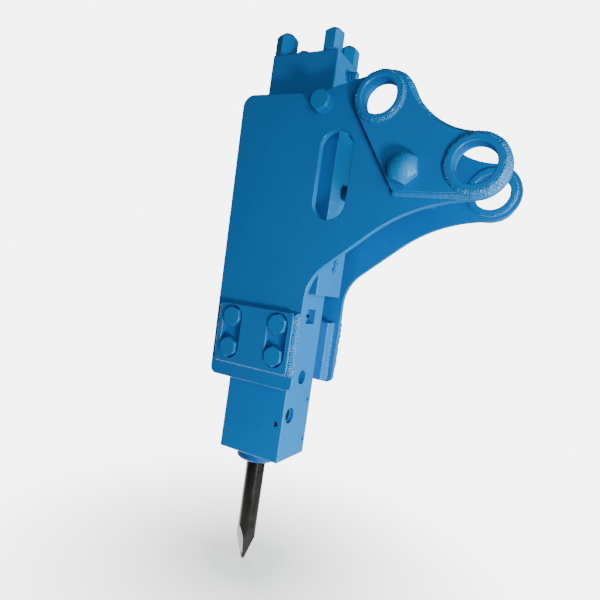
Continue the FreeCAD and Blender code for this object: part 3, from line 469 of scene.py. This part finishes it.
def pad_bead(out):
    """Heavy rough bead on the front edge, and slimmer ones elsewhere."""
    front, above = ease(out.x, 0.4, 0.9), ease(out.z, 0.5, 0.9)
    leg, rough = between(PAD_BEAD, PAD_FRONT_BEAD, front)
    return leg - PAD_TOP_LESS * above, rough


# ---------------------------------------------------------------- welds

def plate_face(side, way, outer):
    """Y of a side plate's outer or inner face."""
    low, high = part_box("side_plate_" + side)
    return high.y if (way > 0) == outer else low.y


def smooth_below(piece, side, paint):
    """Plain enamel on the smooth bead along the doubler's lower edge."""
    boss_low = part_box("arm_pin_boss_" + side)[0]
    piece.data.materials.append(paint)
    for face in piece.data.polygons:
        if face.center.x < boss_low.x and face.center.z < boss_low.z + SMOOTH_BAND:
            face.material_index = 1


def ear_welds(paint, plain_paint):
    """Beads round each doubler, and round both bosses outside and inside the plates."""
    for side, way in SIDES.items():
        mesh = bmesh.new()
        seat = plate_face(side, way, True)
        weld_round(mesh, rim_loop("ear_doubler_" + side, seat, -way), way, doubler_bead)
        piece = finish_mesh("doubler_weld_" + side, mesh, paint)
        smooth_below(piece, side, plain_paint)
        low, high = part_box("ear_doubler_" + side)
        face = high.y if way > 0 else low.y
        inside = plate_face(side, way, False)
        for pin in ("arm_pin", "link_pin"):
            boss_low, boss_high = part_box(pin + "_boss_" + side)
            centre = (boss_low + boss_high) / 2
            radius = (boss_high.x - boss_low.x) / 2
            mesh = bmesh.new()
            for y, up, size in ((face, way, even(*BOSS_BEAD)), (inside, -way, even(*INNER_BOSS_BEAD))):
                weld_round(mesh, circle(Vector((centre.x, y, centre.z)), radius), up, size)
            finish_mesh(pin + "_weld_" + side, mesh, paint)


def pad_welds(paint):
    """Beads round the clamp pads outside the plates and round both spacers inside them."""
    for side, way in SIDES.items():
        mesh = bmesh.new()
        loop = rim_loop("clamp_pad_" + side, plate_face(side, way, True), -way)
        weld_round(mesh, loop, way, pad_bead)
        finish_mesh("clamp_pad_weld_" + side, mesh, paint)
        for spacer in ("lower_spacer", "upper_spacer"):
            mesh = bmesh.new()
            loop = rim_loop(spacer + "_" + side, plate_face(side, way, False), way)
            weld_round(mesh, loop, -way, even(*SPACER_BEAD))
            finish_mesh(spacer + "_weld_" + side, mesh, paint)


def tube_welds(paint):
    """Beads where the cross tube meets the inside of the plates."""
    low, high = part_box("cross_tube")
    centre = (low + high) / 2
    radius = (high.x - low.x) / 2
    mesh = bmesh.new()
    for y, up in ((low.y, 1), (high.y, -1)):
        weld_round(mesh, circle(Vector((centre.x, y, centre.z)), radius), up, even(*TUBE_BEAD))
    finish_mesh("cross_tube_welds", mesh, paint)


# ---------------------------------------------------------------- screw threads

def thread(name, start, end, radius, pitch, paint):
    """Helical ridge of a screw thread on a plain shank between two points."""
    axis = end - start
    length = axis.length
    frame_turn = axis.to_track_quat("Z", "Y").to_matrix()
    mesh = bmesh.new()
    rings = []
    steps = round(length / pitch * THREAD_SIDES)
    for k in range(steps + 1):
        a = 2 * math.pi * k / THREAD_SIDES
        height = length * k / steps
        crest = THREAD_HEIGHT * pitch * ease(min(k, steps - k), 0, THREAD_SIDES / 2)
        ring = []
        for across, out in THREAD_PROFILE:
            reach = radius + (crest * out if out > 0 else out * pitch)
            rise = min(length, max(0.0, height + across * pitch))
            ring.append(start + frame_turn @ Vector((reach * math.cos(a), reach * math.sin(a), rise)))
        rings.append(ring)
    sweep(mesh, rings, False)
    finish_mesh(name, mesh, paint)


def threads(materials):
    """Threads on the hose fittings' noses and on the end of the cross bolt."""
    for port in ("pressure_port_adapter", "return_port_adapter"):
        low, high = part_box(port)
        middle = (low + high) / 2
        tip = Vector((high.x - PORT_THREAD_INSET, middle.y, middle.z))
        root = tip - Vector((PORT_NOSE_LENGTH, 0, 0))
        paint = materials["fitting_paint"]
        thread(port + "_thread", root, tip, PORT_NOSE_R, PORT_PITCH, paint)
    bolt_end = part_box("cross_bolt")[1].y
    nut_low, nut_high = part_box("cross_bolt_nut")
    middle = (nut_low + nut_high) / 2
    root = Vector((middle.x, nut_high.y, middle.z))
    tip = Vector((middle.x, bolt_end - CROSS_THREAD_INSET, middle.z))
    paint = materials["fastener_paint"]
    thread("cross_bolt_thread", root, tip, CROSS_BOLT_R, CROSS_BOLT_PITCH, paint)


# ---------------------------------------------------------------- stage

def make_floor():
    """Pale round floor that fades into the white surroundings at its rim."""
    mesh = bmesh.new()
    bmesh.ops.create_circle(mesh, cap_ends=True, segments=96, radius=FLOOR_RADIUS)
    data = bpy.data.meshes.new("floor")
    mesh.to_mesh(data)
    mesh.free()
    floor = bpy.data.objects.new("floor", data)
    tip_low, tip_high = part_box("chisel")
    middle = (tip_low + tip_high) / 2
    floor.location = (middle.x, middle.y, cad_box[0].z)
    bpy.context.scene.collection.objects.link(floor)
    mat, tree, shader = new_material("pale_floor")
    coords = add(tree, "ShaderNodeTexCoord").outputs["Object"]
    grain = noise(tree, coords, 3.0, 3.0)
    base = blend_colour(tree, grain, (0.93, 0.93, 0.93), (0.90, 0.90, 0.90))
    tree.links.new(base, shader.inputs["Base Color"])
    shader.inputs["Roughness"].default_value = 0.7
    shader.inputs["Emission Color"].default_value = (1, 1, 1, 1)
    shader.inputs["Emission Strength"].default_value = FLOOR_GLOW
    length = add(tree, "ShaderNodeVectorMath", operation="LENGTH")
    tree.links.new(coords, length.inputs[0])
    fade = remap(tree, length.outputs["Value"], FADE_START, FADE_END, 1.0, 0.0)
    tree.links.new(fade, shader.inputs["Alpha"])
    data.materials.append(mat)


def area_light(name, place, target, size, watts, colour):
    """Rectangular softbox that faces its target and isn't seen by the camera."""
    light = bpy.data.lights.new(name, "AREA")
    light.shape = "RECTANGLE"
    light.size, light.size_y = size
    light.energy = watts
    light.color = colour
    lamp = bpy.data.objects.new(name, light)
    lamp.location = place
    lamp.rotation_euler = (Vector(target) - Vector(place)).to_track_quat("-Z", "Y").to_euler()
    lamp.visible_camera = False
    bpy.context.scene.collection.objects.link(lamp)


def make_lights():
    """Softboxes towards the carrier side, a fill, a rim, and a bounce lying on the floor by the tool."""
    middle = (cad_box[0] + cad_box[1]) / 2
    ears = middle + Vector((0.1, 0, 0.3))
    tool_low, tool_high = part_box("chisel")
    tip = Vector(((tool_low.x + tool_high.x) / 2, (tool_low.y + tool_high.y) / 2, tool_low.z))
    bounce = tip + Vector((-0.46, 0.25, 0.004))
    above = bounce + Vector((0, 0, 1))
    for name, place, target, size, watts, colour in (
        ("key_softbox", (1.15, -1.20, -1.18), ears, (0.35, 0.35), 36, (0.96, 1.0, 0.98)),
        ("side_softbox", (2.6, 0.25, -0.6), middle, (2.0, 2.0), 175, (0.74, 1.0, 0.82)),
        ("front_fill", (2.2, -3.2, -0.1), middle, (1.8, 1.8), 62, WHITE),
        ("floor_bounce", bounce, above, (0.88, 0.70), 8, WHITE),
        ("rear_rim", (-2.6, 1.6, 0.2), middle, (1.2, 2.4), 40, WHITE),
    ):
        area_light(name, place, target, size, watts, colour)


def make_world():
    """White where it is seen directly, and dim as a light."""
    world = bpy.data.worlds.new("studio")
    bpy.context.scene.world = world
    world.use_nodes = True
    tree = world.node_tree
    tree.nodes.clear()
    out = add(tree, "ShaderNodeOutputWorld")
    seen = add(tree, "ShaderNodeBackground", Color=(1, 1, 1, 1), Strength=SEEN_BACKGROUND)
    light = add(tree, "ShaderNodeBackground", Color=(0.92, 0.96, 1.0, 1), Strength=AMBIENT)
    mix = add(tree, "ShaderNodeMixShader")
    path = add(tree, "ShaderNodeLightPath")
    tree.links.new(path.outputs["Is Camera Ray"], mix.inputs[0])
    tree.links.new(light.outputs[0], mix.inputs[1])
    tree.links.new(seen.outputs[0], mix.inputs[2])
    tree.links.new(mix.outputs[0], out.inputs["Surface"])


def make_camera():
    """Camera at its fitted place, turned about its own axis so that the tool leans."""
    forward = Vector((
        -math.sin(CAMERA_AZIMUTH) * math.cos(CAMERA_ELEVATION),
        math.cos(CAMERA_AZIMUTH) * math.cos(CAMERA_ELEVATION),
        -math.sin(CAMERA_ELEVATION),
    ))
    camera = bpy.data.objects.new("camera", bpy.data.cameras.new("camera"))
    camera.data.lens = CAMERA_LENS
    level = forward.to_track_quat("-Z", "Y").to_matrix()
    turn = level @ Matrix.Rotation(CAMERA_ROLL, 3, "Z")
    camera.matrix_world = Matrix.Translation(CAMERA_PLACE) @ turn.to_4x4()
    bpy.context.scene.collection.objects.link(camera)
    bpy.context.scene.camera = camera


for leftover in [o for o in bpy.data.objects if o.type in ("CAMERA", "LIGHT")]:
    bpy.data.objects.remove(leftover)
materials = make_materials()
dress_cad_nodes(materials)
ear_welds(materials["weld_paint"], materials["bracket_paint"])
pad_welds(materials["weld_paint"])
tube_welds(materials["weld_paint"])
threads(materials)
make_floor()
make_lights()
make_world()
make_camera()
